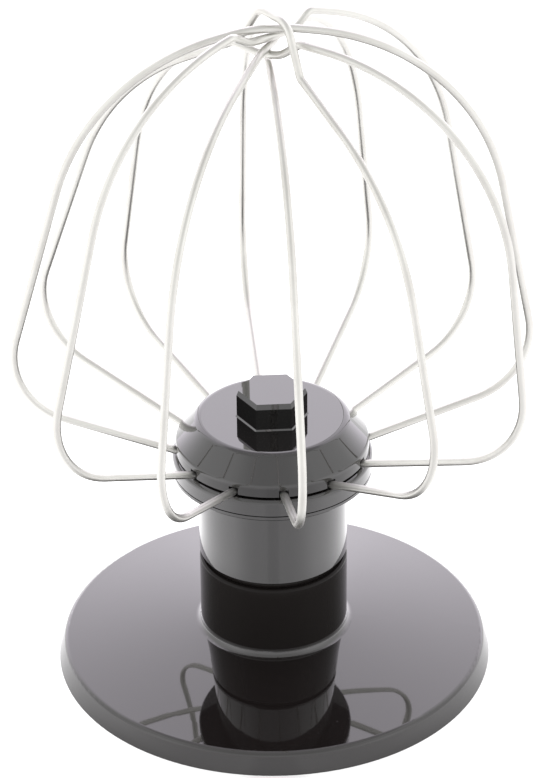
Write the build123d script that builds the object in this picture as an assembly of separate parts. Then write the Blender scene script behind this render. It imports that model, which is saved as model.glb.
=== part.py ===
"""Wire whisk for a stand mixer, standing on its splash disc with the wires up.

Millimetres. The origin is the centre of the drive socket's mouth, level with
the rim that the whisk stands on, and +Z runs up the shaft. The side that faces
the viewer is -Y.
"""
import os
from collections import namedtuple
from math import atan2, cos, degrees, radians, sin, tan

from build123d import *

# Splash disc
RIM_FOOT_R = 48.8      # outer radius on the standing face
RIM_TOP_R = 47.4       # outer radius at the top edge
RIM_H = 4.9            # height of the top edge
RIM_ROUND = 1.3        # rounding of the top edge
RIM_FOOT_W = 1.8       # width of the standing face
DISC_WALL = 2.0        # thickness of the conical wall
DISC_RISE = 3.9        # rise of the cone from the rim to the neck
DISC_BULGE = 0.23      # height of the middle corner above a straight cone
DISC_BEND = 600.0      # radius of the slight dome at that corner
NECK_H = 1.75          # neck that the collar stands on, above the cone
NECK_ROUND = 1.4       # hollow rounding between cone and neck
BOSS_R = 15.0          # boss under the disc, round the drive shaft

# Column
COLUMN_R = 16.5        # outer radius of neck, collar and sleeve
COLLAR_H = 15.8        # collar, from its seat to the shadow groove
COLLAR_ROUND = 0.7     # rounded upper edge of the collar
GROOVE_H = 1.5         # shadow groove between collar and sleeve
GROOVE_DEPTH = 1.2
SPIGOT_H = 3.0         # part of the collar that centres the sleeve
SLEEVE_H = 21.5
SLEEVE_WALL = 2.3
SLEEVE_CUT = 0.3       # edge chamfer of the sleeve's foot
FIT = 0.1              # clearance between pieces that slide together

# Hub base
HUB_R = 22.1           # widest radius of the hub
HUB_BASE_H = 5.9       # from its foot to the parting face
HUB_BASE_ROUND = 1.1   # rounding of the base's upper rim
FOOT_BAND_H = 1.0      # band at the base's foot, under the line groove
FOOT_BAND_CUT = 0.3    # chamfer at the foot
LINE_W = 0.25          # line groove round the base
LINE_DEPTH = 0.3
SLEEVE_LAP = 1.3       # how far the sleeve's top sits inside the hub base

# Hub cap
CAP_INSET = 0.8        # how far the cap's upright side stands in from the hub's
CAP_H = 7.7            # from the parting face to the flat top
CAP_SIDE = 2.3         # height of the upright side above the parting face
CAP_ROUND = 1.3        # rounding between that side and the cone
CAP_TOP_R = 16.5       # radius of the flat top, before its edge is rounded
CAP_EDGE = 2.0         # rounding of the flat top's edge
SKIRT_H = 0.35         # skirt of the cap below the parting face
SKIRT_W = 1.6
SEAM_H = 0.5           # open seam between the skirt and the base

# Hexagon screw
HEX_R = 7.75           # circumradius of the head
HEX_H = 6.4
HEX_CUT_W = 0.4        # bevel round the head's top
HEX_CUT_H = 1.15
HEX_FOOT = 0.3         # flare at the head's foot
HEX_TURN = 3.5         # degrees from +X to a corner
SHANK_R = 3.0
SHANK_L = 17.5

# Drive shaft
SHAFT_R = 11.0         # body, inside disc and collar
SHAFT_FLANGE_R = 14.0
SHAFT_FLANGE_H = 2.2
SHAFT_BODY_H = 30.0    # flange and body
STEM_R = 7.0           # upper part, through the hub base
STEM_FLAT = 5.6        # distance of each driving flat from the axis
STEM_RISE = 4.0        # stem above the hub's parting face
SOCKET_R = 6.35        # round socket for the spindle
SOCKET_L = 20.0
DRIVE_R = 4.6          # circumradius of the hexagonal seat above the socket
DRIVE_L = 6.0
THREAD_END = 1.0       # free depth past the shank's tip

# Wires
WIRE_D = 1.75
CROWN_GAP = 0.15       # gap between wires where they cross
CHANNEL_GAP = 0.1      # clearance of the wire channels in the hub
NOTCH_SIDE = 0.2       # extra width of the cap's notch on each side of a wire
NOTCH_TOP = 0.2        # extra height of that notch above the wire
LEGS = 12
CAGE_TURN = 6.5        # degrees from +X to the first leg
HOOK_R = 13.5          # radius at which the wire ends turn down
HOOK_L = 3.4           # length of the hooked end
HOOK_BEND = 2.2
HOOK_END_GAP = 0.3     # free depth under a hooked end
EXIT_IN = 0.7          # how far inside the cap's side the legs start to rise
EXIT_BEND = 6.0
CAGE_REACH = 59.2      # radius of the shoulder corner, before its bend
SHOULDER_BEND = 17.0
DOME_BEND = 48.0       # radius of the dome
CROWN_LOW = 146.4      # centre height of the lowest wire at the axis
CROWN_BEND = 30.0      # bend where a plain leg runs into the crown
STEP_BEND = 2.0        # foot of a stepped crown
STEP_TOP_BEND = 4.2    # inner end of a stepped crown
ARCH_LIFT = 1.6        # height of the arching wire above the stack
RUN_SHARE = 0.99       # part of a straight run that its bends may take up

# One leg as bent by hand: rise of its shoulder corner above the parting face,
# lean of its side up to the brow corner, drop of that corner under the crown,
# and the half width of the crown on its side. A stepped leg also has the
# radius of the step's foot and that foot's lift above the crown.
Leg = namedtuple("Leg", "rise lean drop half foot lift", defaults=(None, 0.0))

# One wire: place in the stack, from the lowest, the number of its first leg,
# and its two legs.
Wire = namedtuple("Wire", "place first near far")

WIRES = (
    Wire(0, 3, Leg(12.0, 25.0, 14.5, 5.0), Leg(13.0, 11.0, 4.0, 5.0)),
    Wire(1, 1, Leg(10.0, 9.0, 1.5, 2.5, 7.0, 3.3), Leg(18.0, 22.5, 13.0, 2.5, 8.0, 1.4)),
    Wire(2, 4, Leg(12.5, 14.0, 11.0, 4.0), Leg(16.0, 15.5, 6.5, 2.5, 7.0, 1.2)),
    Wire(3, 5, Leg(13.5, 21.5, 4.5, 5.0, 9.0, 2.4), Leg(12.0, 16.5, 7.0, 7.0, 10.5, 3.2)),
    Wire(4, 0, Leg(13.5, 16.0, 6.0, 4.0), Leg(16.0, 22.0, 8.0, 4.0)),
    Wire(5, 2, Leg(15.0, 16.0, 28.0, 6.4, 10.8, -10.8), Leg(11.5, 14.5, 27.0, 3.0, 10.5, -10.0)),
)

# Sizes that follow from those above
Z_CONE = RIM_H + DISC_RISE
Z_SEAT = Z_CONE + NECK_H
Z_COLLAR = Z_SEAT + COLLAR_H
Z_SLEEVE = Z_COLLAR + GROOVE_H
Z_SLEEVE_TOP = Z_SLEEVE + SLEEVE_H
Z_BASE = Z_SLEEVE_TOP - SLEEVE_LAP
Z_PART = Z_BASE + HUB_BASE_H
Z_SKIRT = Z_PART - SKIRT_H
Z_CAP = Z_PART + CAP_H
SLEEVE_BORE = COLUMN_R - SLEEVE_WALL
CAP_R = HUB_R - CAP_INSET
SKIRT_IN = CAP_R - SKIRT_W
EXIT_R = CAP_R - EXIT_IN
WIRE_R = WIRE_D / 2
STACK = WIRE_D + CROWN_GAP
TOP_PLACE = len(WIRES) - 1


def crown_height(wire):
    """Centre height of a wire at the axis; the top one arches clear of the stack."""
    lift = ARCH_LIFT if wire.place == TOP_PLACE else 0
    return CROWN_LOW + wire.place * STACK + lift


def turned(*corners):
    """Solid of revolution about Z from (radius, height) or (radius, height, rounding) corners."""
    points = [(c[0], 0, c[1]) for c in corners]
    rounding = [c[2] if len(c) > 2 else 0 for c in corners]
    outline = FilletPolyline(*points, radius=rounding, close=True)
    return revolve(make_face(outline), Axis.Z)


def hexagon(circumradius, height, z, inset=0):
    """Hexagonal prism standing on height z, with its sides drawn in by the inset at the top."""
    outline = Pos(0, 0, z) * RegularPolygon(circumradius, 6, rotation=HEX_TURN)
    return extrude(outline, height, taper=degrees(atan2(inset, height)))


def bearing(leg):
    """Direction of a numbered leg, in degrees from +X; the legs are counted towards the viewer."""
    return CAGE_TURN - leg * 360 / LEGS


def in_plane(angle, corners):
    """Points in the upright plane through the axis at this angle."""
    c, s = cos(radians(angle)), sin(radians(angle))
    return [(r * c, r * s, z) for r, z in corners]


def fitted_bends(corners, bends):
    """Bend radii, each limited by the straight runs beside its corner."""
    runs = [Vector(*b) - Vector(*a) for a, b in zip(corners, corners[1:])]
    half_turns = [tan(radians(a.get_angle(b) / 2)) for a, b in zip(runs, runs[1:])]
    takes = [0, *(bend * half for bend, half in zip(bends, half_turns)), 0]
    for i, run in enumerate(runs):
        spare = run.length * RUN_SHARE - takes[i] - takes[i + 1]
        if spare < 0:
            longer = i if takes[i] > takes[i + 1] else i + 1
            takes[longer] += spare
    return [take / half for take, half in zip(takes[1:], half_turns)]


def bent_bar(angle, corners, bends, radius):
    """Round bar along straight runs and tangent arcs in an upright plane through the axis."""
    points = in_plane(angle, corners)
    path = FilletPolyline(*points, radius=fitted_bends(points, bends))
    return sweep(Plane(path @ 0, z_dir=path % 0) * Circle(radius), path=path)


def hooked_end(leg, extra=0):
    """Corners and bends of a leg from its hooked end to its shoulder corner."""
    corners = [(HOOK_R, Z_PART - HOOK_L - extra), (HOOK_R, Z_PART), (EXIT_R, Z_PART),
               (CAGE_REACH, Z_PART + leg.rise)]
    return corners, [HOOK_BEND, EXIT_BEND]


def leg_line(leg, crown):
    """Corners and bends of a leg from its hooked end to its side of the crown."""
    corners, bends = hooked_end(leg)
    corners += [(CAGE_REACH - leg.lean, crown - leg.drop)]
    bends += [SHOULDER_BEND, DOME_BEND]
    if leg.foot is None:
        return corners + [(leg.half, crown)], bends + [CROWN_BEND]
    return corners + [(leg.foot, crown + leg.lift), (leg.half, crown)], bends + [STEP_BEND, STEP_TOP_BEND]


def wire_loop(wire):
    """One wire, from hook to hook over the crown."""
    near, near_bends = leg_line(wire.near, crown_height(wire))
    far, far_bends = leg_line(wire.far, crown_height(wire))
    corners = near + [(-r, z) for r, z in reversed(far)]
    return bent_bar(bearing(wire.first), corners, near_bends + far_bends[::-1], WIRE_R)


def legs():
    """Every leg with its direction."""
    for wire in WIRES:
        yield bearing(wire.first), wire.near
        yield bearing(wire.first) + 180, wire.far


def wire_channels():
    """Space that the wire ends take up in the hub."""
    cut = Part()
    for angle, leg in legs():
        corners, bends = hooked_end(leg, HOOK_END_GAP)
        cut += bent_bar(angle, corners, bends, WIRE_R + CHANNEL_GAP)
    return cut


def splash_disc():
    """Slightly domed cone with a flared rim, a neck for the collar and a boss round the drive shaft."""
    bore = SHAFT_R + FIT
    middle_r = (RIM_TOP_R + COLUMN_R) / 2
    middle_z = (RIM_H + Z_CONE) / 2 + DISC_BULGE
    return turned((RIM_FOOT_R, 0), (RIM_TOP_R, RIM_H, RIM_ROUND), (middle_r, middle_z, DISC_BEND),
                  (COLUMN_R, Z_CONE, NECK_ROUND), (COLUMN_R, Z_SEAT), (bore, Z_SEAT), (bore, SHAFT_FLANGE_H),
                  (BOSS_R, SHAFT_FLANGE_H), (BOSS_R, Z_CONE - DISC_WALL),
                  (RIM_TOP_R - RIM_FOOT_W, RIM_H - DISC_WALL), (RIM_FOOT_R - RIM_FOOT_W, 0))


def collar():
    """Lower part of the column, with a spigot for the sleeve above the shadow groove."""
    bore = SHAFT_R + FIT
    groove = COLUMN_R - GROOVE_DEPTH
    spigot = SLEEVE_BORE - FIT
    return turned((bore, Z_SEAT), (COLUMN_R, Z_SEAT), (COLUMN_R, Z_COLLAR, COLLAR_ROUND),
                  (groove, Z_COLLAR), (groove, Z_SLEEVE), (spigot, Z_SLEEVE),
                  (spigot, Z_SLEEVE + SPIGOT_H), (bore, Z_SLEEVE + SPIGOT_H))


def stem_sleeve():
    """Upper part of the column: a plain tube."""
    return turned((SLEEVE_BORE, Z_SLEEVE), (COLUMN_R - SLEEVE_CUT, Z_SLEEVE),
                  (COLUMN_R, Z_SLEEVE + SLEEVE_CUT), (COLUMN_R, Z_SLEEVE_TOP),
                  (SLEEVE_BORE, Z_SLEEVE_TOP))


def stem_hole():
    """Keyed hole for the stem, with its clearance."""
    height = HUB_BASE_H + CAP_H
    hole = Pos(0, 0, Z_BASE) * Cylinder(STEM_R + FIT, height, align=(Align.CENTER, Align.CENTER, Align.MIN))
    width = 2 * (STEM_FLAT + FIT)
    key = Pos(0, 0, Z_BASE) * Box(width, 4 * STEM_R, height, align=(Align.CENTER, Align.CENTER, Align.MIN))
    return hole & key


def hub_base():
    """Ring that takes the sleeve's top from below and the hooked wire ends from above."""
    recess = COLUMN_R + FIT
    band = Z_BASE + FOOT_BAND_H
    rim = Z_SKIRT - SEAM_H
    land = SKIRT_IN - FIT
    body = turned((0, Z_SLEEVE_TOP), (recess, Z_SLEEVE_TOP), (recess, Z_BASE), (HUB_R - FOOT_BAND_CUT, Z_BASE),
                  (HUB_R, Z_BASE + FOOT_BAND_CUT), (HUB_R, band), (HUB_R - LINE_DEPTH, band),
                  (HUB_R - LINE_DEPTH, band + LINE_W), (HUB_R, band + LINE_W),
                  (HUB_R, rim, HUB_BASE_ROUND), (land, rim), (land, Z_PART), (0, Z_PART))
    return body - stem_hole() - wire_channels()


def hub_cap():
    """Cover with a skirt, a conical side, a flat top and a notch over each wire."""
    body = turned((0, Z_PART), (SKIRT_IN, Z_PART), (SKIRT_IN, Z_SKIRT), (CAP_R, Z_SKIRT),
                  (CAP_R, Z_PART + CAP_SIDE, CAP_ROUND), (CAP_TOP_R, Z_CAP, CAP_EDGE), (0, Z_CAP))
    body -= Pos(0, 0, Z_PART) * Cylinder(STEM_R + FIT, 2 * (STEM_RISE + THREAD_END))
    body -= Pos(0, 0, Z_PART) * Cylinder(SHANK_R + FIT, 4 * CAP_H)
    for angle, leg in legs():
        slope = leg.rise / (CAGE_REACH - EXIT_R)
        height = slope * (CAP_R - EXIT_R) + WIRE_R + NOTCH_TOP
        notch = Box(2 * SKIRT_W, WIRE_D + 2 * NOTCH_SIDE, 2 * height)
        body -= Rot(0, 0, angle) * Pos(CAP_R, 0, Z_PART) * notch
    return body - wire_channels()


def hex_screw():
    """Clamping screw: a bevelled hexagon head with a flared foot, on a plain shank."""
    bevel = Z_CAP + HEX_H - HEX_CUT_H
    foot_r = HEX_R + HEX_FOOT / cos(radians(30))
    head = hexagon(foot_r, HEX_FOOT, Z_CAP, HEX_FOOT)
    head += hexagon(HEX_R, bevel - Z_CAP, Z_CAP)
    head += hexagon(HEX_R, HEX_CUT_H, bevel, HEX_CUT_W)
    return head + Pos(0, 0, Z_CAP) * Cylinder(SHANK_R, SHANK_L, align=(Align.CENTER, Align.CENTER, Align.MAX))


def drive_shaft():
    """Core with a socket below, a flange under the disc and a keyed stem in the hub."""
    stem_top = Z_PART + STEM_RISE
    body = turned((SOCKET_R, 0), (SHAFT_FLANGE_R, 0), (SHAFT_FLANGE_R, SHAFT_FLANGE_H),
                  (SHAFT_R, SHAFT_FLANGE_H), (SHAFT_R, SHAFT_BODY_H), (STEM_R, SHAFT_BODY_H),
                  (STEM_R, stem_top), (0, stem_top), (0, SOCKET_L), (SOCKET_R, SOCKET_L))
    for side in (-1, 1):
        body -= Pos(side * (STEM_FLAT + STEM_R), 0, Z_SLEEVE_TOP) * Box(
            2 * STEM_R, 4 * STEM_R, stem_top - Z_SLEEVE_TOP, align=(Align.CENTER, Align.CENTER, Align.MIN))
    body -= hexagon(DRIVE_R, DRIVE_L, SOCKET_L)
    thread_foot = Z_CAP - SHANK_L - THREAD_END
    return body - Pos(0, 0, thread_foot) * Cylinder(
        SHANK_R + FIT, stem_top - thread_foot, align=(Align.CENTER, Align.CENTER, Align.MIN))


def main():
    """Build every piece and write one file for each."""
    pieces = {"splash_disc": splash_disc(), "collar": collar(), "stem_sleeve": stem_sleeve(),
              "hub_base": hub_base(), "hub_cap": hub_cap(), "hex_screw": hex_screw(),
              "drive_shaft": drive_shaft()}
    for wire in WIRES:
        pieces[f"wire_loop_{wire.place + 1}"] = wire_loop(wire)
    os.makedirs("parts", exist_ok=True)
    for name, piece in pieces.items():
        export_step(piece, f"parts/{name}.step")


main()
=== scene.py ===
"""Looks of the stand mixer wire whisk: its finishes, its studio and the camera.

Metres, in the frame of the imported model: +Z runs up the shaft and -Y faces the viewer.
"""
import logging
import math
from abc import ABC, abstractmethod
from dataclasses import dataclass
from enum import Enum
from typing import Any, Iterable, Mapping, Optional, Sequence, Union

import bmesh
import bpy
from mathutils import Matrix, Vector

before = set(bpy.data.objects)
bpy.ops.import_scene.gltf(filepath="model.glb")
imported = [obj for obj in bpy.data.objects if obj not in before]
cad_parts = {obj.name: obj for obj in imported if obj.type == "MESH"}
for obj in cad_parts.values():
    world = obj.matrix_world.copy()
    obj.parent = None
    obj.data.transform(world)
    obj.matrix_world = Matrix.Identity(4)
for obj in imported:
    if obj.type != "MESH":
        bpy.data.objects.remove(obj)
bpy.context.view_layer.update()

LOG = logging.getLogger("whisk")
IMAGE_W = 550
IMAGE_H = 778

Triple = tuple[float, float, float]
Colour = Triple
Span = tuple[float, float]
Value = Union["Signal", bpy.types.NodeSocket, float, Sequence[float]]

DARK: Colour = (0.0, 0.0, 0.0)
WHITE: Colour = (1.0, 1.0, 1.0)
OPAQUE = 1.0
UNTURNED: Triple = (0.0, 0.0, 0.0)
NOISE_MIDDLE = 0.5
SQUARE_ROOT = 0.5


class Grain(Enum):
    """Directions of a fine pattern: its stretch along X, Y and Z."""

    EVEN = (1.0, 1.0, 1.0)
    LINES = (0.12, 1.0, 1.0)


class Blend(Enum):
    """Kinds of Mix node: data type, places of the two inputs and place of the output."""

    VECTOR = ("VECTOR", 4, 5, 1)
    COLOUR = ("RGBA", 6, 7, 2)


@dataclass(frozen=True)
class Pattern:
    """Soft noise, and the part of it that counts.

    Attributes:
        size: width of its patches, in metres.
        detail: octaves of finer noise.
        rough: weight of the finer octaves.
        bend: how far it is distorted.
        edge: values of the noise over which its mask rises from 0 to 1.
    """

    size: float
    detail: float = 2.0
    rough: float = 0.5
    bend: float = 0.0
    edge: Span = (0.0, 1.0)


class Signal:
    """A number that runs through a node tree, with arithmetic that adds Math nodes."""

    def __init__(self, tree: "Tree", socket: bpy.types.NodeSocket) -> None:
        """Keep the tree and the socket that the number comes from."""
        self.tree = tree
        self.socket = socket

    def _math(self, operation: str, *operands: Value) -> "Signal":
        """Add one Math node.

        Args:
            operation: the Math node's operation.
            operands: its inputs, in order.

        Returns:
            The node's result.
        """
        node = self.tree.node("ShaderNodeMath", {"operation": operation},
                              dict(enumerate(operands)))
        return Signal(self.tree, node.outputs[0])

    def __add__(self, other: Value) -> "Signal":
        """Sum."""
        return self._math("ADD", self, other)

    __radd__ = __add__

    def __mul__(self, other: Value) -> "Signal":
        """Product."""
        return self._math("MULTIPLY", self, other)

    __rmul__ = __mul__

    def __sub__(self, other: Value) -> "Signal":
        """Difference."""
        return self._math("SUBTRACT", self, other)

    def __rsub__(self, other: Value) -> "Signal":
        """Difference with this number taken away."""
        return self._math("SUBTRACT", other, self)

    def __truediv__(self, other: Value) -> "Signal":
        """Quotient."""
        return self._math("DIVIDE", self, other)

    def __rtruediv__(self, other: Value) -> "Signal":
        """Quotient with this number below."""
        return self._math("DIVIDE", other, self)

    def __pow__(self, power: Value) -> "Signal":
        """Power."""
        return self._math("POWER", self, power)

    def __abs__(self) -> "Signal":
        """Size without sign."""
        return self._math("ABSOLUTE", self)

    def sine(self) -> "Signal":
        """Sine of an angle in radians."""
        return self._math("SINE", self)

    def cosine(self) -> "Signal":
        """Cosine of an angle in radians."""
        return self._math("COSINE", self)

    def angle(self, other: "Signal") -> "Signal":
        """Angle, in radians, whose tangent is this number over another."""
        return self._math("ARCTAN2", self, other)

    def reach(self, other: "Signal") -> "Signal":
        """Length of a line that runs this far one way and another number across it."""
        return (self * self + other * other) ** SQUARE_ROOT

    def within(self, low: float, high: float) -> "Signal":
        """The number, held between two limits."""
        return self._math("MINIMUM", self._math("MAXIMUM", self, low), high)

    def step(self, low: float, high: float) -> "Signal":
        """Smooth step.

        Args:
            low: value that gives 0.
            high: value that gives 1; it may be the smaller one.

        Returns:
            A mask from 0 to 1.
        """
        node = self.tree.node("ShaderNodeMapRange", {"interpolation_type": "SMOOTHSTEP"},
                              {"Value": self, "From Min": low, "From Max": high})
        return Signal(self.tree, node.outputs["Result"])


class Tree:
    """A node tree and the nodes that are added to it."""

    def __init__(self, nodes: bpy.types.NodeTree) -> None:
        """Take over a tree and clear it."""
        self.nodes = nodes
        self.nodes.nodes.clear()

    def node(self, kind: str, settings: Optional[Mapping[str, Any]] = None,
             inputs: Optional[Mapping[Union[str, int], Value]] = None) -> bpy.types.Node:
        """Add one node.

        Args:
            kind: the node's type.
            settings: properties that are set before the inputs.
            inputs: a value or a link for each named or numbered socket.

        Returns:
            The new node.
        """
        node = self.nodes.nodes.new(kind)
        for key, setting in (settings or {}).items():
            setattr(node, key, setting)
        for key, value in (inputs or {}).items():
            self.feed(node.inputs[key], value)
        return node

    def feed(self, socket: bpy.types.NodeSocket, value: Value) -> None:
        """Link a signal to a socket, or set the socket's own value."""
        if isinstance(value, Signal):
            self.nodes.links.new(value.socket, socket)
        elif isinstance(value, bpy.types.NodeSocket):
            self.nodes.links.new(value, socket)
        else:
            socket.default_value = value

    def axes(self, vector: bpy.types.NodeSocket) -> tuple[Signal, ...]:
        """The X, Y and Z parts of a vector."""
        parts = self.node("ShaderNodeSeparateXYZ", None, {0: vector})
        return tuple(Signal(self, part) for part in parts.outputs)

    def mix(self, blend: Blend, factor: Value, low: Value, high: Value) -> bpy.types.NodeSocket:
        """Mix two vectors or two colours.

        Args:
            blend: the kind of Mix node.
            factor: share of the second one.
            low: first one.
            high: second one.

        Returns:
            The mixture's socket.
        """
        kind, first, second, result = blend.value
        node = self.node("ShaderNodeMix", {"data_type": kind, "clamp_factor": True},
                         {"Factor": factor, first: low, second: high})
        return node.outputs[result]

    def colour(self, factor: Value, low: Colour, high: Colour) -> bpy.types.NodeSocket:
        """Mix two opaque colours.

        Args:
            factor: share of the second colour.
            low: first colour.
            high: second colour.

        Returns:
            The colour's socket.
        """
        return self.mix(Blend.COLOUR, factor, (*low, OPAQUE), (*high, OPAQUE))


class Paint(Tree):
    """One material and the nodes that are added to it."""

    def __init__(self, name: str) -> None:
        """Start a material with only its output and surface shader."""
        self.material = bpy.data.materials.new(name)
        self.material.use_nodes = True
        super().__init__(self.material.node_tree)
        self.shader = self.node("ShaderNodeBsdfPrincipled")
        self.node("ShaderNodeOutputMaterial", None, {"Surface": self.shader.outputs[0]})

    def place(self, grain: Grain = Grain.EVEN, turn: Triple = UNTURNED) -> bpy.types.NodeSocket:
        """Coordinates in the shared frame, stretched along a grain.

        Args:
            grain: the stretch along each axis.
            turn: turn about each axis, in radians.

        Returns:
            The coordinates' socket.
        """
        where = self.node("ShaderNodeTexCoord").outputs["Object"]
        node = self.node("ShaderNodeMapping", {"vector_type": "POINT"},
                         {"Vector": where, "Rotation": turn, "Scale": grain.value})
        return node.outputs["Vector"]

    def facing(self) -> bpy.types.NodeSocket:
        """Normal of the mesh in the shared frame."""
        return self.node("ShaderNodeTexCoord").outputs["Normal"]

    def noise(self, where: bpy.types.NodeSocket, pattern: Pattern) -> Signal:
        """Soft noise from 0 to 1.

        Args:
            where: coordinates.
            pattern: the noise.

        Returns:
            The noise value.
        """
        node = self.node("ShaderNodeTexNoise", {"noise_dimensions": "3D"},
                         {"Vector": where, "Scale": 1.0 / pattern.size,
                          "Detail": pattern.detail, "Roughness": pattern.rough,
                          "Distortion": pattern.bend})
        return Signal(self, node.outputs[0])

    def mask(self, where: bpy.types.NodeSocket, pattern: Pattern) -> Signal:
        """Mask that is 1 where a noise is high."""
        return self.noise(where, pattern).step(*pattern.edge)

    def bump(self, height: Signal, depth: float, strength: float,
             under: Optional[bpy.types.NodeSocket] = None) -> bpy.types.NodeSocket:
        """Relief from a height signal.

        Args:
            height: the relief, from 0 to 1.
            depth: its depth in metres.
            strength: share of the relief that is used.
            under: normal that the relief lies on, or none for the mesh's own.

        Returns:
            The normal's socket.
        """
        inputs = {"Strength": strength, "Distance": depth, "Height": height}
        if under is not None:
            inputs["Normal"] = under
        return self.node("ShaderNodeBump", None, inputs).outputs["Normal"]

    def finish(self, fixed: Mapping[str, float],
               varying: Mapping[str, Value]) -> bpy.types.Material:
        """Set the surface shader.

        Args:
            fixed: sockets with one value all over.
            varying: sockets fed by the nodes.

        Returns:
            The material.
        """
        for key, value in (*fixed.items(), *varying.items()):
            self.feed(self.shader.inputs[key], value)
        return self.material


@dataclass(frozen=True)
class Finish(ABC):
    """A named surface."""

    name: str

    @abstractmethod
    def material(self) -> bpy.types.Material:
        """Make the material."""


@dataclass(frozen=True)
class GlossPlastic(Finish):
    """Polished black moulding: deep gloss with hairlines, faint flow marks and dust.

    Attributes:
        colour: colour of the clean moulding.
        haze: colour of its flow marks and dust.
        gloss: roughness of the clean moulding.
        index: index of refraction.
        coat, coat_gloss, coat_index: weight, roughness and index of the clear skin.
        flow: flow marks.
        speck, dust: specks of dust, and the areas that have them.
        scuff: areas that have hairlines.
        hairline, hairline_w: the noise whose middle line is a hairline, and how far
            from that middle the line ends.
        peel, peel_depth, peel_share: waviness of the skin, its depth and how much is used.
        marked, scuffed, dusty: roughness that flow marks, hairlines and dust add.
        flow_haze, speck_haze: share of the haze in flow marks and dust.
        ways: directions of the hairlines, as turns about the axes.
    """

    colour: Colour
    haze: Colour
    gloss: float = 0.03
    index: float = 1.5
    coat: float = 1.0
    coat_gloss: float = 0.02
    coat_index: float = 1.5
    flow: Pattern = Pattern(0.03, detail=3.0, edge=(0.35, 0.75))
    speck: Pattern = Pattern(0.0009, detail=1.0, edge=(0.74, 0.8))
    dust: Pattern = Pattern(0.015, edge=(0.45, 0.75))
    scuff: Pattern = Pattern(0.02, edge=(0.5, 0.7))
    hairline: Pattern = Pattern(0.012, rough=0.55, bend=0.4)
    hairline_w: float = 0.006
    peel: Pattern = Pattern(0.0035, detail=1.0)
    peel_depth: float = 0.0001
    peel_share: float = 0.02
    marked: float = 0.02
    scuffed: float = 0.08
    dusty: float = 0.35
    flow_haze: float = 0.5
    speck_haze: float = 0.4
    ways: tuple[Triple, ...] = ((0.2, 0.1, 0.5), (0.5, 0.9, 2.1))

    def material(self) -> bpy.types.Material:
        """Make the material."""
        paint = Paint(self.name)
        even = paint.place()
        marks = paint.noise(even, self.flow)
        lines = sum(self.hairlines(paint, way) for way in self.ways)
        lines = lines * paint.mask(even, self.scuff)
        specks = paint.mask(even, self.speck) * paint.mask(even, self.dust)
        rough = self.gloss + marks * self.marked + lines * self.scuffed + specks * self.dusty
        hazy = marks.step(*self.flow.edge) * self.flow_haze + specks * self.speck_haze
        waves = paint.noise(even, self.peel)
        return paint.finish(
            {"IOR": self.index, "Coat Roughness": self.coat_gloss, "Coat IOR": self.coat_index},
            {"Base Color": paint.colour(hazy, self.colour, self.haze),
             "Roughness": rough,
             "Normal": paint.bump(waves, self.peel_depth, self.peel_share, self.form(paint)),
             "Coat Weight": self.skin(paint)})

    def hairlines(self, paint: Paint, turn: Triple) -> Signal:
        """Thin scratches that run one way.

        Args:
            paint: the material that they go in.
            turn: the direction, as turns about the axes.

        Returns:
            A mask that is 1 on a scratch.
        """
        wave = paint.noise(paint.place(Grain.LINES, turn), self.hairline)
        return abs(wave - NOISE_MIDDLE).step(self.hairline_w, 0.0)

    def skin(self, paint: Paint) -> Value:
        """Weight of the clear skin: the same all over."""
        return self.coat

    def form(self, paint: Paint) -> Optional[bpy.types.NodeSocket]:
        """Normal that the relief lies on: none of its own, so the mesh's."""
        return None


@dataclass(frozen=True)
class BandedPlastic(GlossPlastic):
    """Polished black whose upright band at its foot has less clear skin: painted shade.

    Attributes:
        band_shade: share of the clear skin that the band lacks, as painted shade.
        band: heights over which the full skin comes back.
    """

    band_shade: float = 0.65
    band: Span = (0.0554, 0.0562)

    def skin(self, paint: Paint) -> Value:
        """Weight of the clear skin: less on the band, as painted shade.

        Args:
            paint: the material that it goes in.

        Returns:
            The weight.
        """
        _, _, height = paint.axes(paint.place())
        return self.coat * (1.0 - self.band_shade * height.step(*reversed(self.band)))


@dataclass(frozen=True)
class FacedPlastic(GlossPlastic):
    """Polished black whose upright faces have less clear skin than its top, most of all those
    facing left and right: painted shade.

    Attributes:
        upright_shade: share of the clear skin that an upright face in front lacks, as painted
            shade.
        side_shade: further share that an upright face facing left or right lacks, as more
            painted shade.
        upright: rise of the normal over which the full skin comes back.
        aside: turn of the normal, as a sine, over which a face counts as a side.
    """

    upright_shade: float = 0.5
    side_shade: float = 0.45
    upright: Span = (0.18, 0.48)
    aside: Span = (0.3, 0.7)

    def skin(self, paint: Paint) -> Value:
        """Weight of the clear skin: less on the upright faces, as painted shade.

        Args:
            paint: the material that it goes in.

        Returns:
            The weight.
        """
        across, _, rise = paint.axes(paint.facing())
        face_shade = self.upright_shade + self.side_shade * abs(across).step(*self.aside)
        return self.coat * (1.0 - face_shade * rise.step(*reversed(self.upright)))


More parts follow.
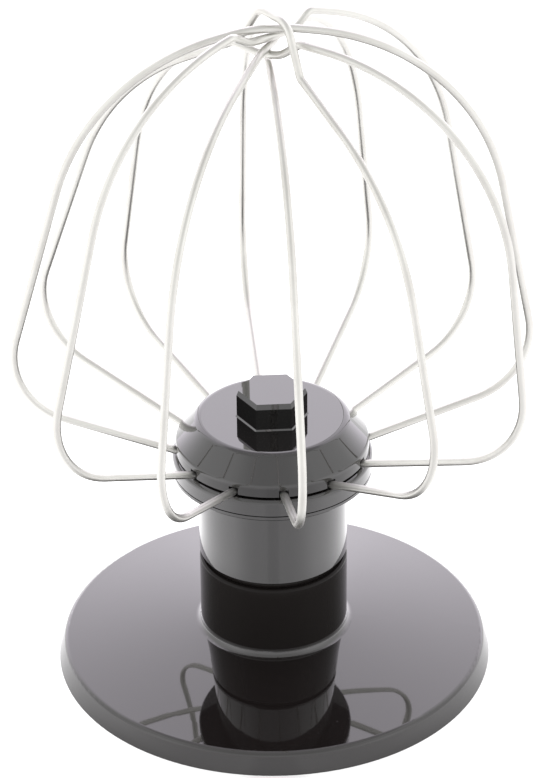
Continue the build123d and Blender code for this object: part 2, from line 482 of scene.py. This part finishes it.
@dataclass(frozen=True)
class RimmedPlastic(GlossPlastic):
    """Polished black whose rounded rim is shaded by its true section, free of facets.

    Attributes:
        rim_r, rim_h: radius and height of the rim's corner before it is rounded.
        foot_r: radius of the rim at its foot.
        round_r: radius of the rounding.
        slope: fall of the top towards the rim, in degrees.
        blend: width over which the true section takes over from the mesh.
        wall_shade: share of the clear skin that the rim's wall lacks, as painted shade.
        outside: rise of the normal over which the disc's outside begins.
    """

    rim_r: float = 0.0474
    rim_h: float = 0.0049
    foot_r: float = 0.0488
    round_r: float = 0.0013
    slope: float = 8.031
    blend: float = 0.0005
    wall_shade: float = 0.4
    outside: Span = (0.02, 0.12)

    def skin(self, paint: Paint) -> Value:
        """Weight of the clear skin: less on the rim's wall, as painted shade.

        Args:
            paint: the material that it goes in.

        Returns:
            The weight.
        """
        across, along, _ = paint.axes(paint.place())
        wall = across.reach(along).step(self.rim_r - self.blend, self.rim_r)
        return self.coat * (1.0 - self.wall_shade * wall)

    def form(self, paint: Paint) -> Optional[bpy.types.NodeSocket]:
        """Normal of the rim's section on the outside, and the mesh's elsewhere.

        Args:
            paint: the material that it goes in.

        Returns:
            The normal's socket.
        """
        top = math.radians(self.slope)
        wall = math.atan2(self.rim_h, self.foot_r - self.rim_r)
        ways = Vector((math.sin(top), math.cos(top))) + Vector((math.sin(wall), math.cos(wall)))
        inset = ways * self.round_r / (1.0 + math.cos(wall - top))
        centre = Vector((self.rim_r, self.rim_h)) - inset
        across, along, height = paint.axes(paint.place())
        radius = across.reach(along)
        tilt = (radius - centre.x).angle(height - centre.y).within(top, wall)
        lean = tilt.sine() / radius
        true = paint.node("ShaderNodeCombineXYZ", None,
                          {"X": across * lean, "Y": along * lean, "Z": tilt.cosine()})
        mesh = paint.facing()
        _, _, rise = paint.axes(mesh)
        mask = rise.step(*self.outside) * radius.step(centre.x - self.blend, centre.x)
        return paint.mix(Blend.VECTOR, mask, mesh, true.outputs[0])


@dataclass(frozen=True)
class DrawnSteel(Finish):
    """Polished stainless wire with a warm, slightly dulled skin.

    Attributes:
        bright, dull: colours of the clean and the dulled skin.
        gloss: roughness of the clean skin.
        spread: roughness that the dulling adds.
        patch, pit: the dulled patches and the pits.
        patch_share, pit_share: how far each of them dulls the skin.
    """

    bright: Colour
    dull: Colour
    gloss: float = 0.34
    spread: float = 0.06
    patch: Pattern = Pattern(0.012, detail=3.0, rough=0.6, edge=(0.4, 0.72))
    pit: Pattern = Pattern(0.0008, rough=0.6, edge=(0.5, 0.85))
    patch_share: float = 0.7
    pit_share: float = 0.25

    def material(self) -> bpy.types.Material:
        """Make the material."""
        paint = Paint(self.name)
        even = paint.place()
        worn = paint.mask(even, self.patch) * self.patch_share
        worn = worn + paint.mask(even, self.pit) * self.pit_share
        return paint.finish({"Metallic": 1.0},
                            {"Base Color": paint.colour(worn, self.bright, self.dull),
                             "Roughness": self.gloss + worn * self.spread})


@dataclass(frozen=True)
class MouldedCore(Finish):
    """Dull dark moulding with a fine, even grain.

    Attributes:
        colour, worn: colours of the clean and the worn moulding.
        gloss: roughness without the grain.
        index: index of refraction.
        grain, grain_depth, grain_share: the grain, its depth and how much of it is used.
        patch, patch_share: the worn patches, and how far they take the worn colour.
        grained, polished: roughness that the grain adds and that the patches take away.
    """

    colour: Colour
    worn: Colour
    gloss: float = 0.48
    index: float = 1.5
    grain: Pattern = Pattern(0.0006)
    grain_depth: float = 0.00006
    grain_share: float = 0.4
    patch: Pattern = Pattern(0.006, detail=3.0, edge=(0.4, 0.7))
    patch_share: float = 0.6
    grained: float = 0.15
    polished: float = 0.1

    def material(self) -> bpy.types.Material:
        """Make the material."""
        paint = Paint(self.name)
        even = paint.place()
        grain = paint.noise(even, self.grain)
        patch = paint.noise(even, self.patch)
        share = patch.step(*self.patch.edge) * self.patch_share
        return paint.finish(
            {"IOR": self.index},
            {"Base Color": paint.colour(share, self.colour, self.worn),
             "Roughness": self.gloss + grain * self.grained - patch * self.polished,
             "Normal": paint.bump(grain, self.grain_depth, self.grain_share)})


@dataclass(frozen=True)
class PaleFloor(Finish):
    """White table top whose glow is painted light, as under a light tent: painted shade
    towards the viewer, a painted contact shadow near the object and a painted
    shadow strip of a stand straight in front.

    Attributes:
        colour, worn: colours of its faint patches.
        glow: strength of its light.
        shade: share of the light that is left straight in front, as painted shade.
        lit, tilt: light at the sides, and how much more the left side has of it.
        contact_shadow_light: share of the sides' light that is left close to the object, in a
            painted contact shadow.
        dip: share of the light that a painted shadow strip straight in front takes away, as a
            stand's shadow.
        shine, gloss: strength and roughness of its own gloss.
        patch: the patches.
        ahead, stand: directions, as cosines from straight behind, over which the
            painted shade and the painted shadow strip end.
        clear: distances from the middle over which the sides' light comes back out of the
            painted contact shadow.
    """

    colour: Colour
    worn: Colour
    glow: float = 0.95
    shade: float = 0.515
    lit: float = 0.84
    tilt: float = 0.16
    contact_shadow_light: float = 0.3
    dip: float = 0.3
    shine: float = 0.0
    gloss: float = 0.9
    patch: Pattern = Pattern(0.4)
    ahead: Span = (-0.95, -0.5)
    stand: Span = (-0.9985, -0.985)
    clear: Span = (0.049, 0.064)

    def material(self) -> bpy.types.Material:
        """Make the material."""
        paint = Paint(self.name)
        even = paint.place()
        across, along, _ = paint.axes(even)
        reach = across.reach(along)
        behind = along / reach
        # Painted shade towards the viewer, and painted light at the sides, most at the left.
        aside = behind.step(*self.ahead) * (self.lit - across / reach * self.tilt)
        # Painted contact shadow: less of the sides' light close to the object.
        aside = aside * (self.contact_shadow_light + reach.step(*self.clear) * (1.0 - self.contact_shadow_light))
        light = self.shade + aside * (1.0 - self.shade)
        # Painted shadow strip of a stand straight in front.
        light = light * (1.0 - self.dip * behind.step(*reversed(self.stand)))
        patches = paint.noise(even, self.patch)
        return paint.finish(
            {"Emission Strength": self.glow, "Specular IOR Level": self.shine,
             "Roughness": self.gloss},
            {"Base Color": paint.colour(patches, self.colour, self.worn),
             "Emission Color": paint.colour(light, DARK, WHITE)})


JET: Colour = (0.006, 0.0051, 0.005)
JET_HAZE: Colour = (0.008, 0.0071, 0.0069)

BLACK = GlossPlastic("polished_black", colour=JET, haze=JET_HAZE)
# The cap's foot band has painted shade: less clear skin there.
CAP_BLACK = BandedPlastic("cap_black", colour=JET, haze=JET_HAZE)
# The disc's rim wall has painted shade: less clear skin there.
RIM_BLACK = RimmedPlastic("rim_black", colour=(0.0092, 0.0074, 0.0072),
                          haze=(0.0112, 0.0094, 0.0091))
# The collar has no clear skin and a low index, so its reflections are dimmer than the other
# black mouldings': painted shade.
COLLAR_BLACK = GlossPlastic("collar_black", colour=(0.0095, 0.008, 0.0075),
                            haze=(0.0115, 0.01, 0.0094), gloss=0.1, index=1.2, coat=0.0)
# The screw's upright faces have painted shade: less clear skin, most on the left and right.
SCREW_BLACK = FacedPlastic("screw_black", colour=(0.0032, 0.003, 0.0028),
                           haze=(0.005, 0.0048, 0.0045), index=1.1, coat_index=1.95,
                           flow=Pattern(0.012, detail=3.0, edge=(0.35, 0.75)))
CORE = MouldedCore("core_grey", colour=(0.045, 0.045, 0.048), worn=(0.07, 0.07, 0.072))
WIRE = DrawnSteel("drawn_steel", bright=(0.6, 0.595, 0.565), dull=(0.535, 0.525, 0.495))
TABLE = PaleFloor("pale_table", colour=(0.62, 0.62, 0.62), worn=(0.6, 0.6, 0.6))


@dataclass
class SubAssembly(ABC):
    """Pieces of the whisk that belong together."""

    @abstractmethod
    def build(self) -> None:
        """Dress the pieces."""

    def dress(self, finish: Finish, *nodes: str) -> None:
        """Put one finish on every slot of these CAD nodes.

        Args:
            finish: the surface.
            nodes: names of the nodes.
        """
        material = finish.material()
        for name in nodes:
            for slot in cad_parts[name].material_slots:
                slot.material = material
            LOG.info("%s: %s", name, material.name)


@dataclass
class DriveEnd(SubAssembly):
    """Splash disc and drive shaft."""

    disc: str = "splash_disc"
    shaft: str = "drive_shaft"

    def build(self) -> None:
        """Dress both pieces."""
        self.dress(RIM_BLACK, self.disc)
        self.dress(CORE, self.shaft)


@dataclass
class Column(SubAssembly):
    """Collar and sleeve."""

    collar: str = "collar"
    sleeve: str = "stem_sleeve"

    def build(self) -> None:
        """Dress both pieces."""
        self.dress(COLLAR_BLACK, self.collar)
        self.dress(BLACK, self.sleeve)


@dataclass
class Hub(SubAssembly):
    """Base, cap and clamping screw."""

    base: str = "hub_base"
    cap: str = "hub_cap"
    screw: str = "hex_screw"

    def build(self) -> None:
        """Dress the three pieces."""
        self.dress(BLACK, self.base)
        self.dress(CAP_BLACK, self.cap)
        self.dress(SCREW_BLACK, self.screw)


@dataclass
class WireCage(SubAssembly):
    """The bent wires."""

    prefix: str = "wire_loop_"

    def build(self) -> None:
        """Dress every wire."""
        self.dress(WIRE, *sorted(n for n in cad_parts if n.startswith(self.prefix)))


@dataclass
class LightTent:
    """Soft white surround, brightest low down behind the object.

    Attributes:
        front, side, back: light from the front, and what the sides and the back add to it.
        fill: light added low down in front.
        glow: light added in a narrow strip straight behind.
        fade: light that the back loses towards the top.
        top: light from above.
        top_edge: elevations, in degrees, between the walls and the top.
        side_edge, back_edge, fill_edge, strip_edge: cosines from straight behind
            over which each light starts or ends.
        fade_rise, fill_rise, strip_rise: heights, as sines, over which each light changes.
        neutral, lilac: tints of the front and of the back.
        pole: a little over 1, so that straight up doesn't divide by zero.
    """

    front: float = 0.97
    side: float = 0.46
    back: float = 0.93
    fill: float = 0.36
    glow: float = 0.3
    fade: float = 0.36
    top: float = 0.95
    top_edge: Span = (51.0, 63.0)
    side_edge: Span = (-1.0, -0.45)
    back_edge: Span = (0.2, 0.9)
    fill_edge: Span = (0.2, -0.6)
    strip_edge: Span = (0.992, 1.0)
    fade_rise: Span = (0.35, 0.8)
    fill_rise: Span = (0.67, 0.26)
    strip_rise: Span = (0.2, 0.45)
    neutral: Colour = WHITE
    lilac: Colour = (1.0, 0.955, 1.03)
    pole: float = 1.0001

    def build(self) -> None:
        """Make the world."""
        world = bpy.data.worlds.new("tent")
        world.use_nodes = True
        tree = Tree(world.node_tree)
        _, along, up = tree.axes(tree.node("ShaderNodeTexCoord").outputs["Generated"])
        behind = along / (self.pole - up * up) ** SQUARE_ROOT
        rear = behind.step(*self.back_edge)
        wall = self.front + behind.step(*self.side_edge) * self.side
        wall = wall + rear * (self.back - up.step(*self.fade_rise) * self.fade)
        wall = wall + behind.step(*self.fill_edge) * up.step(*self.fill_rise) * self.fill
        wall = wall + behind.step(*self.strip_edge) * up.step(*self.strip_rise) * self.glow
        above = up.step(*(math.sin(math.radians(edge)) for edge in self.top_edge))
        level = wall + (self.top - wall) * above
        tint = tree.colour(rear, self.neutral, self.lilac)
        sky = tree.node("ShaderNodeBackground", None, {"Color": tint, "Strength": level})
        tree.node("ShaderNodeOutputWorld", None, {"Surface": sky.outputs[0]})
        bpy.context.scene.world = world
        LOG.info("light: %s", world.name)


@dataclass
class Studio:
    """Floor, light and camera.

    Attributes:
        tent: the light.
        floor_r, floor_sides: radius of the table top, and sides of its outline.
        camera_at: place of the camera.
        down, roll: dip and roll of the camera, in degrees.
        focal_px: focal length, in pixels of the photograph.
        sensor: width of the sensor, in millimetres.
        near_clip: distance from which the camera sees.
    """

    tent: LightTent
    floor_r: float = 4.0
    floor_sides: int = 96
    camera_at: Triple = (0.00069, -0.63707, 0.44463)
    down: float = 30.581
    roll: float = -0.518
    focal_px: float = 3395.0
    sensor: float = 36.0
    near_clip: float = 0.01

    def build(self) -> None:
        """Make the studio."""
        self.floor()
        self.tent.build()
        self.camera()
        view = bpy.context.scene.view_settings
        view.view_transform = "Standard"
        view.look = "None"

    def floor(self) -> None:
        """Round table top under the rim."""
        mesh = bpy.data.meshes.new("table")
        shape = bmesh.new()
        bmesh.ops.create_circle(shape, cap_ends=True, segments=self.floor_sides,
                                radius=self.floor_r)
        shape.to_mesh(mesh)
        shape.free()
        mesh.materials.append(TABLE.material())
        table = bpy.data.objects.new("table", mesh)
        bpy.context.scene.collection.objects.link(table)
        LOG.info("table: %s", TABLE.name)

    def camera(self) -> None:
        """Camera at the photograph's view."""
        data = bpy.data.cameras.new("camera")
        data.sensor_width = self.sensor
        data.lens = self.focal_px * self.sensor / max(IMAGE_W, IMAGE_H)
        data.clip_start = self.near_clip
        camera = bpy.data.objects.new("camera", data)
        bpy.context.scene.collection.objects.link(camera)
        dip, roll = math.radians(self.down), math.radians(self.roll)
        right = Vector((1.0, 0.0, 0.0))
        ahead = Vector((0.0, math.cos(dip), -math.sin(dip)))
        up = right.cross(ahead)
        side = right * math.cos(roll) + up * math.sin(roll)
        top = up * math.cos(roll) - right * math.sin(roll)
        turn = Matrix((side, top, -ahead)).transposed().to_4x4()
        camera.matrix_world = Matrix.Translation(self.camera_at) @ turn
        bpy.context.scene.camera = camera
        LOG.info("camera: %.1f mm", data.lens)


def main() -> None:
    """Build the sub-assemblies in order."""
    logging.basicConfig(level=logging.INFO, format="%(name)s %(message)s")
    for piece in (DriveEnd(), Column(), Hub(), WireCage(), Studio(LightTent())):
        LOG.info("building %s", type(piece).__name__)
        piece.build()


if __name__ == "__main__":
    main()
